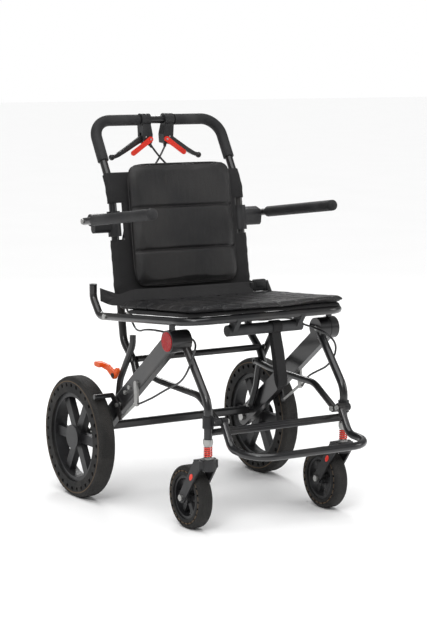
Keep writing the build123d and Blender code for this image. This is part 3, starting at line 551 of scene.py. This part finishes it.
backPad = {"half": 0.1475, "low": 0.0685, "high": 0.3695, "corner": 0.030, "under": 0.0150, "over": 0.0300,
           "seams": (0.155, 0.262), "seamDepth": 0.0060, "seamWidth": 0.0036, "crown": 0.0055,
           "limit": 0.0390,
           "folds": ((0.020, 0.078, 0.142, 0.0018), (0.041, 0.074, 0.148, 0.0026),
                     (0.058, 0.082, 0.142, 0.0018), (-0.034, 0.280, 0.352, 0.0018),
                     (-0.010, 0.276, 0.346, 0.0016), (0.078, 0.280, 0.354, 0.0014),
                     (0.004, 0.172, 0.246, 0.0012), (-0.060, 0.176, 0.240, 0.0009)), "foldWidth": 0.0042,
           "bottom": 0.0138, "puffCap": 0.007, "ripple": 0.0016, "piping": 0.0042, "pipingAt": 0.0215}


def backCushion():
    pad = backPad
    piece = pillow("backCushion", pad["half"], pad["low"], pad["high"], pad["corner"],
                   lambda y: pad["under"], lambda y: pad["over"], "black_leatherette")
    puff(piece, pad["puffCap"])
    fitOutline(piece, -pad["half"], pad["half"], pad["low"], pad["high"])
    edges = (pad["low"], *pad["seams"], pad["high"])
    for point in piece.data.vertices:
        x, y, z = point.co
        if z > (pad["under"] + pad["over"]) / 2:
            for low, high in zip(edges, edges[1:]):
                if low < y <= high:
                    hump = math.sin(math.pi * (y - low) / (high - low)) ** 0.6
                    z += pad["crown"] * hump * max(0, 1 - (x / pad["half"]) ** 4)
            for seam in pad["seams"]:
                near = (y - seam) / pad["seamWidth"]
                if abs(x) < pad["half"] - 0.004:
                    z -= pad["seamDepth"] * math.exp(-near * near)
            for foldX, foldLow, foldHigh, depth in pad["folds"]:
                if foldLow < y < foldHigh:
                    run = math.sin(math.pi * (y - foldLow) / (foldHigh - foldLow))
                    drift = foldX + 0.004 * math.sin(y * 40 + foldX * 90)
                    z -= depth * run * math.exp(-((x - drift) / pad["foldWidth"]) ** 2)
            ripple = noise.noise(Vector((x * 26, y * 11, 4.0)))
            near = min(abs(y - seam) for seam in pad["seams"])
            z += ripple * pad["ripple"] * (0.4 + math.exp(-near / 0.02))
        z = max(min(z, pad["limit"]), pad["bottom"])
        point.co = backPlace(x, y, z)
    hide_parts("back_cushion")
    rideOn(piece, "black_leatherette", "back_frame")
    outline, squareness = [], 0.22  # a low power squares the oval's corners
    outerHigh = pad["high"] - pad["low"] + 0.0012
    for turn in range(64):
        angle = 2 * math.pi * turn / 64
        x = math.copysign(abs(math.cos(angle)) ** squareness, math.cos(angle)) * (pad["half"] + 0.0006)
        y = math.copysign(abs(math.sin(angle)) ** squareness, math.sin(angle)) * outerHigh / 2
        outline.append(backPlace(x, y + (pad["high"] + pad["low"]) / 2, pad["pipingAt"]))
    piping = settle(cordCurve("backPiping", outline, pad["piping"], "black_leatherette", "back_frame",
                              closed=True))
    for soft in (piece, piping):
        flatten(soft, backPlace(0, 0.2, 1) - backPlace(0, 0.2, 0), backPlace(0, 0.2, pad["bottom"]))


backCushion()
print("back cushion made")

seatLine = {"low": 0.4592, "from": 0.18619, "slope": 0.0897}


def seatPlace(x, y, lift):
    return Vector((x, y, seatLine["low"] + (seatLine["from"] - y) * seatLine["slope"] + lift))


seatPad = {"half": 0.2180, "front": -0.2120, "rear": 0.1640, "corner": 0.040, "under": 0.0215, "tile": 0.052,
           "tileDepth": 0.0032, "tileWidth": 0.0034, "frontTop": 0.0335, "rearTop": 0.0415, "swell": 0.006,
           "puffCap": 0.006}


def seatTop(y):
    share = (y - seatPad["front"]) / (seatPad["rear"] - seatPad["front"])
    return seatPad["frontTop"] + (seatPad["rearTop"] - seatPad["frontTop"]) * share


def seatCushion():
    pad = seatPad
    piece = pillow("seatCushion", pad["half"], pad["front"], pad["rear"], pad["corner"],
                   lambda y: pad["under"], lambda y: seatTop(y) - pad["swell"], "black_leatherette")
    puff(piece, pad["puffCap"])
    fitOutline(piece, -pad["half"], pad["half"], pad["front"], pad["rear"])
    for point in piece.data.vertices:
        x, y, z = point.co
        if z > (pad["under"] + seatTop(y) - pad["swell"]) / 2:
            for value in (x, y + 0.02):
                off = abs((value / pad["tile"]) % 1 - 0.5) * pad["tile"]
                z -= pad["tileDepth"] * math.exp(-(off / pad["tileWidth"]) ** 2)
            z += 0.0012 * noise.noise(Vector((x * 16, y * 16, 2.0)))
        # the front edge waves and sinks towards its middle
        front = max(0, 1 - (y - pad["front"]) / 0.09) ** 2
        z -= front * (0.0032 * math.cos(x * 17) + 0.0014 * math.sin(x * 41))
        z = max(min(z, seatTop(y)), pad["under"] - 0.0012)
        point.co = seatPlace(x, y, z)
    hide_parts("seat_cushion")
    rideOn(piece, "black_leatherette", "main_frame")
    flatten(piece, seatPlace(0, 0, 1) - seatPlace(0, 0, 0) + Vector((0, seatLine["slope"], 0)),
            seatPlace(0, 0, pad["under"]))


seatCushion()
print("seat cushion made")

underPad = {"half": 0.2295, "front": -0.2080, "rear": 0.126, "corner": 0.060, "under": 0.0104, "over": 0.0190,
            "limit": 0.0202, "tubeX": 0.222, "tubeFront": 0.2005, "tubeCorner": 0.055, "clear": 0.0100}


def pastTube(x, y):
    # how far a point lies outside the seat tube's centreline, less than nothing inside it
    overX = abs(x) - (underPad["tubeX"] - underPad["tubeCorner"])
    overY = -y - (underPad["tubeFront"] - underPad["tubeCorner"])
    if overX > 0 and overY > 0:
        return math.hypot(overX, overY) - underPad["tubeCorner"]
    return max(overX, overY) - underPad["tubeCorner"]


def seatSling():
    # padded sling stretched over the tubes, its edge turned down onto them
    pad = underPad
    piece = pillow("seatSling", pad["half"], pad["front"], pad["rear"], pad["corner"],
                   lambda y: pad["under"], lambda y: pad["over"], "black_nylon")
    modify(piece, "SUBSURF", levels=1, render_levels=1)
    for point in piece.data.vertices:
        x, y, z = point.co
        off = pastTube(x, y)
        z += 0.0010 * noise.noise(Vector((x * 22, y * 22, 7.0)))
        z -= 0.0014 * math.exp(-((off + 0.024) / 0.003) ** 2)
        z -= 0.0075 * max(0, min(1, (off + 0.004) / 0.012)) ** 2
        tubeTop = math.sqrt(max(pad["clear"] ** 2 - max(off, 0) ** 2, 0))
        point.co = seatPlace(x, y, max(min(z, pad["limit"]), tubeTop))
    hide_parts("seat_sling")
    rideOn(piece, "black_nylon", "main_frame")


seatSling()

backCloth = {"low": 0.051, "high": 0.352, "gapLow": 0.188, "gapHigh": 0.278, "wrap": 0.0118, "thick": 0.0020,
             "cut": 0.1655}


def backSling():
    # sleeves run round both tubes, with a gap for each armrest clamp
    cloth = backCloth
    rows, points, faces = 73, [], []
    flatPart = [k / 12 * cloth["cut"] for k in range(-12, 13)]
    turns = [math.radians(90 - 20 * k) for k in range(0, 14)]
    wide = len(flatPart) + 2 * len(turns)
    for row in range(rows + 1):
        up = cloth["low"] + (cloth["high"] - cloth["low"]) * row / rows
        crease = 0.0007 * math.sin(up * 190) + 0.0006 * math.sin(up * 83 + 1)
        reach = cloth["wrap"] + max(crease, 0)
        for turn in reversed(turns):
            points.append(bentPlace(-backLine["tubeX"] - math.cos(turn) * reach, up, math.sin(turn) * reach))
        for x in flatPart:
            points.append(bentPlace(x, up, cloth["wrap"]))
        for turn in turns:
            points.append(bentPlace(backLine["tubeX"] + math.cos(turn) * reach, up, math.sin(turn) * reach))
    for row in range(rows):
        up = cloth["low"] + (cloth["high"] - cloth["low"]) * (row + 0.5) / rows
        inGap = cloth["gapLow"] < up < cloth["gapHigh"]
        for k in range(wide - 1):
            inside = len(turns) <= k < len(turns) + len(flatPart) - 1
            if inside or not inGap:
                a = row * wide + k
                faces.append((a, a + 1, a + wide + 1, a + wide))
    piece = addMesh("backSling", points, faces, "black_nylon")
    shape = bmesh.new()
    shape.from_mesh(piece.data)
    bmesh.ops.delete(shape, geom=[v for v in shape.verts if not v.link_faces], context="VERTS")
    shape.to_mesh(piece.data)
    shape.free()
    modify(piece, "SOLIDIFY", thickness=cloth["thick"], offset=0)
    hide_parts("back_sling")
    rideOn(piece, "black_nylon", "back_frame")
    return piece


backSling()
print("slings made")

beltLook = {"width": 0.033, "thick": 0.0018, "lift": 0.0128}


def onPad(x, y):
    place = seatPlace(x, y, seatTop(y) + beltLook["lift"])
    return (*place, 0, 0.62, 0.78)


def lapBelt():
    long = [onPad(0.128, 0.076), onPad(0.06, 0.080), onPad(-0.04, 0.086), onPad(-0.13, 0.090),
            onPad(-0.190, 0.102),
            (-0.2095, 0.150, 0.505, 0.35, 0.6, 0.75), (-0.2100, 0.200, 0.503, 0.1, 0.1, 1),
            (-0.2100, 0.248, 0.506, 0, 0.1, 1)]
    short = [onPad(0.172, 0.076), onPad(0.190, 0.090), (0.2095, 0.150, 0.505, -0.35, 0.6, 0.75),
             (0.2100, 0.200, 0.503, -0.1, 0.1, 1), (0.2100, 0.248, 0.506, 0, 0.1, 1)]
    belt = strap("lapBeltLong", long, beltLook["width"], beltLook["thick"], "main_frame")
    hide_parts("lap_belt")
    end = strap("lapBeltShort", short, beltLook["width"], beltLook["thick"], "main_frame", steps=50)
    for soft in (belt, end):
        flatten(soft, (0, 0, 1), seatPlace(0, 0.1, seatPad["under"]))


lapBelt()

loopLook = {"width": 0.025, "thick": 0.0016, "centre": (-0.176, 0.462), "radius": 0.0155, "bottom": 0.312,
            "x": 0.030, "slant": 0.022}


def handLoop():
    look = loopLook
    cy, cz = look["centre"]
    stations = []
    for angle in range(-60, 241, 30):
        turn = math.radians(angle)
        stations.append((look["x"], cy + math.cos(turn) * look["radius"],
                         cz + math.sin(turn) * look["radius"], 1, 0, 0))
    drop = [0.40, 0.36, 0.33]
    rear = [(look["x"] + look["slant"] * (cz - z) / 0.15, cy + 0.008, z, 1, 0, 0.15) for z in reversed(drop)]
    front = [(look["x"] + look["slant"] * (cz - z) / 0.15, cy - 0.009, z, 1, 0, 0.15) for z in drop]
    foot = (look["x"] + look["slant"], cy, look["bottom"], 1, 0, 0.15)
    route = [foot] + rear + stations + front + [foot]
    belt = strap("handLoop", route, look["width"], look["thick"], "main_frame", steps=150)
    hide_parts("pull_strap")


handLoop()


def roundedBlock(shape, low, high, bevel):
    made = bmesh.ops.create_cube(shape, size=1)["verts"]
    for point in made:
        for k in range(3):
            point.co[k] = (low[k] + high[k]) / 2 + point.co[k] * (high[k] - low[k])
    sides = list({edge for point in made for edge in point.link_edges})
    bmesh.ops.bevel(shape, geom=sides, offset=bevel, segments=3, affect="EDGES", profile=0.5)


def blocks(name, parts, slotName, body):
    shape = bmesh.new()
    for low, high, bevel in parts:
        roundedBlock(shape, low, high, bevel)
    mesh = bpy.data.meshes.new(name)
    shape.to_mesh(mesh)
    shape.free()
    mesh.materials.append(finishes[slotName])
    mesh.polygons.foreach_set("use_smooth", [True] * len(mesh.polygons))
    piece = bpy.data.objects.new(name, mesh)
    bpy.context.scene.collection.objects.link(piece)
    rideOn(piece, slotName, body)
    return piece


def beltBuckle():
    low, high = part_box("belt_buckle")
    mid = (low + high) / 2
    parts = [
        ((low.x + 0.007, low.y + 0.002, low.z + 0.001), (high.x - 0.007, high.y - 0.001, high.z), 0.004),
        ((low.x, mid.y - 0.004, mid.z - 0.009), (low.x + 0.009, mid.y + 0.004, mid.z + 0.009), 0.002),
        ((high.x - 0.009, mid.y - 0.004, mid.z - 0.009), (high.x, mid.y + 0.004, mid.z + 0.009), 0.002),
        ((mid.x - 0.012, low.y, mid.z - 0.004), (mid.x + 0.012, low.y + 0.004, mid.z + 0.010), 0.0015),
    ]
    buckle = blocks("beltBuckle", parts, "black_plastic", "main_frame")
    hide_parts("belt_buckle")


beltBuckle()
print("belt and loop made")

cableLook = {"thick": 0.005, "exitDirection": (-0.68, -0.733), "guideX": 0.16245, "guideReach": 0.0066}


def atGuide(distance):
    along, down = cableLook["exitDirection"]
    size = math.hypot(along, down)
    return (cableLook["guideX"], backLine["hinge"][0] + along / size * distance,
            backLine["hinge"][1] + down / size * distance)


def brakeCables():
    for sideName, way in (("Left", 1), ("Right", -1)):
        depth = 0 if way > 0 else 0.009
        upper = [(-0.022, 0.318 + depth, 0.866), (-0.006, 0.312 + depth, 0.842),
                 (0.022, 0.302 + depth, 0.812), (0.058, 0.288 + depth / 2, 0.778),
                 (0.096, 0.276, 0.734), (0.126, 0.266, 0.682), (0.145, 0.256, 0.624),
                 (0.155, 0.243, 0.566), atGuide(-0.062), atGuide(-cableLook["guideReach"])]
        lower = [atGuide(cableLook["guideReach"]), atGuide(0.042), (0.178, 0.106, 0.430),
                 (0.192, 0.055, 0.442), (0.195, 0.005, 0.448), (0.186, -0.045, 0.447),
                 (0.174, -0.092, 0.445), (0.172, -0.136, 0.444), (0.184, -0.172, 0.434),
                 (0.203, -0.186, 0.410), (0.208, -0.174, 0.376), (0.2075, -0.142, 0.346),
                 (0.2075, -0.100, 0.328), (0.209, -0.058, 0.309), (0.222, -0.024, 0.287),
                 (0.238, 0.0075, 0.271)]
        for kind, route, body, length in (("upperCable", upper, "back_frame", 0.483),
                                          ("lowerCable", lower, "main_frame", 0.652)):
            route = [(way * x, y, z) for x, y, z in route]
            piece = cordCurve(kind + sideName, route, cableLook["thick"], "cable_sheath", body)
            if way > 0:
                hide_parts("brake_cables_upper" if kind == "upperCable" else "brake_cables_lower")


brakeCables()
print("cables made")


def turned(name, start, end, profile, slotName, body):
    # profile is (share of the way, radius) pairs, turned round the line from start to end
    start, end = Vector(start), Vector(end)
    line = (end - start).normalized()
    side = line.orthogonal().normalized()
    other = line.cross(side)
    points, faces, around = [], [], 32
    for share, radius in profile:
        for k in range(around):
            angle = 2 * math.pi * k / around
            outward = side * math.cos(angle) + other * math.sin(angle)
            points.append(start + (end - start) * share + outward * radius)
    for ring in range(len(profile) - 1):
        for k in range(around):
            a, b = ring * around + k, ring * around + (k + 1) % around
            faces.append((a, b, b + around, a + around))
    faces.append(tuple(reversed(range(around))))
    faces.append(tuple(range(len(points) - around, len(points))))
    piece = addMesh(name, points, faces, slotName)
    rideOn(piece, slotName, body)
    return piece


domeLook = {"length": 0.0075, "radius": 0.0133}
cableEndProfile = [(0, 0.0048), (0.45, 0.0048), (0.5, 0.0040), (0.9, 0.0036), (1, 0.0029)]
for sideName, way in (("left", 1), ("right", -1)):
    line = Vector((0, -0.3295, 0.043)).normalized()
    tip = Vector((way * 0.254, -0.0915, 0.735)) - line * 0.0006
    bend = [math.radians(6 * k) for k in range(15)]
    dome = [(math.sin(a), domeLook["radius"] * math.cos(a)) for a in bend]
    turned("gripDome_" + sideName, tip, tip + line * domeLook["length"], dome,
           "black_foam", "armrest_" + sideName)
    # cable end piece under each brake body
    crossed = 0.0 if way < 0 else 0.009
    turned("cableEnd_" + sideName, (way * 0.0245, 0.331, 0.8755),
           (way * 0.0215, 0.318 + crossed, 0.8640),
           cableEndProfile, "black_plastic", "back_frame")

badgeLook = {"long": 0.0095, "short": 0.0058, "thick": 0.0008, "share": 0.66, "armTop": (-0.226, 0.162)}


def forkBadge(sideName, way, face):
    # plain oval mark on a fork arm, laid along the arm
    low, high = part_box("caster_fork_" + sideName)
    axleLow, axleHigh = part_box("caster_rim_" + sideName)
    axle = (axleLow + axleHigh) / 2
    armRun, armRise = badgeLook["armTop"][0] - axle.y, badgeLook["armTop"][1] - axle.z
    size = math.hypot(armRun, armRise)
    along, over = (armRun / size, armRise / size), (-armRise / size, armRun / size)
    x = high.x if face > 0 else low.x
    points, faces, around = [], [], 36
    for lift, shrink in ((-0.0002, 1.0), (badgeLook["thick"] * 0.6, 1.0), (badgeLook["thick"], 0.9)):
        for k in range(around):
            turn = 2 * math.pi * k / around
            a, b = math.cos(turn) * badgeLook["long"] * shrink, math.sin(turn) * badgeLook["short"] * shrink
            points.append((x + face * lift, axle.y + armRun * badgeLook["share"] + along[0] * a + over[0] * b,
                           axle.z + armRise * badgeLook["share"] + along[1] * a + over[1] * b))
    for ring in range(2):
        for k in range(around):
            a, b = ring * around + k, ring * around + (k + 1) % around
            faces.append((a, b, b + around, a + around))
    faces += [tuple(reversed(range(around))), tuple(range(2 * around, 3 * around))]
    name = "forkBadge_" + sideName + ("_out" if face * way > 0 else "_in")
    badge = addMesh(name, points, faces, "red_plastic", smooth=False)
    rideOn(badge, "red_plastic", "caster_fork_" + sideName)


for sideName, way in (("left", 1), ("right", -1)):
    for face in (1, -1):
        forkBadge(sideName, way, face)
print("small pieces made")


def addFloor():
    mesh = bpy.data.meshes.new("floor")
    mesh.from_pydata([(-30, -30, 0), (30, -30, 0), (30, 30, 0), (-30, 30, 0)], [], [(0, 1, 2, 3)])
    floor = bpy.data.objects.new("floor", mesh)
    bpy.context.scene.collection.objects.link(floor)
    finish = Finish("paleFloor", {})
    tone = finish.grain(2, 2)
    finish.feed("Base Color", finish.mix(tone, (0.93, 0.93, 0.93), (0.95, 0.95, 0.95)))
    finish.feed("Roughness", 0.7 + tone * 0.1)
    mesh.materials.append(finish.material)


def addLight(name, place, size, power, target=(0, 0, 0.45)):  # aimed at the seat
    lamp = bpy.data.lights.new(name, "AREA")
    lamp.shape = "DISK"
    lamp.size = size
    lamp.energy = power
    holder = bpy.data.objects.new(name, lamp)
    holder.location = place
    holder.rotation_euler = (Vector(target) - Vector(place)).to_track_quat("-Z", "Y").to_euler()
    bpy.context.scene.collection.objects.link(holder)


stageLook = {"sunPower": 2.7, "sunSoftness": math.radians(70),
             "sunTilt": (math.radians(14), math.radians(-10), 0),
             "roomLight": 0.26, "backdrop": 1.0,
             "lamps": {"keyLight": ((-2.6, -2.4, 2.6), 1.2, 42), "fillLight": ((3.0, -2.0, 1.6), 1.6, 24),
                       "rimLight": ((1.2, 2.8, 2.4), 1.2, 34)}}

addFloor()
for lampName, (place, size, power) in stageLook["lamps"].items():
    addLight(lampName, place, size, power)
sunLamp = bpy.data.lights.new("softSun", "SUN")
sunLamp.energy = stageLook["sunPower"]
sunLamp.angle = stageLook["sunSoftness"]
sun = bpy.data.objects.new("softSun", sunLamp)
sun.rotation_euler = stageLook["sunTilt"]
bpy.context.scene.collection.objects.link(sun)
world = bpy.data.worlds.new("studio")
bpy.context.scene.world = world
world.use_nodes = True
sky = world.node_tree.nodes["Background"]
sky.inputs["Color"].default_value = (1, 1, 1, 1)
seen = world.node_tree.nodes.new("ShaderNodeLightPath")
level = world.node_tree.nodes.new("ShaderNodeMapRange")
level.inputs["To Min"].default_value = stageLook["roomLight"]
level.inputs["To Max"].default_value = stageLook["backdrop"]
world.node_tree.links.new(seen.outputs["Is Camera Ray"], level.inputs["Value"])
world.node_tree.links.new(level.outputs["Result"], sky.inputs["Strength"])
bpy.context.scene.view_settings.view_transform = "Standard"

cameraLook = {"place": (-2.3632, -3.7747, 1.1176), "target": (-0.0041, 0.0445, 0.4525), "lens": 103.7,
              "roll": math.radians(0.2)}
lens = bpy.data.cameras.new("studioCamera")
lens.sensor_fit = "VERTICAL"
lens.sensor_height = 36
lens.lens = cameraLook["lens"]
camera = bpy.data.objects.new("studioCamera", lens)
bpy.context.scene.collection.objects.link(camera)
camera.location = cameraLook["place"]
aim = (Vector(cameraLook["target"]) - Vector(cameraLook["place"])).to_track_quat("-Z", "Y")
camera.rotation_euler = aim.to_euler()
camera.rotation_euler.rotate_axis("Z", cameraLook["roll"])
bpy.context.scene.camera = camera
print("stage made")
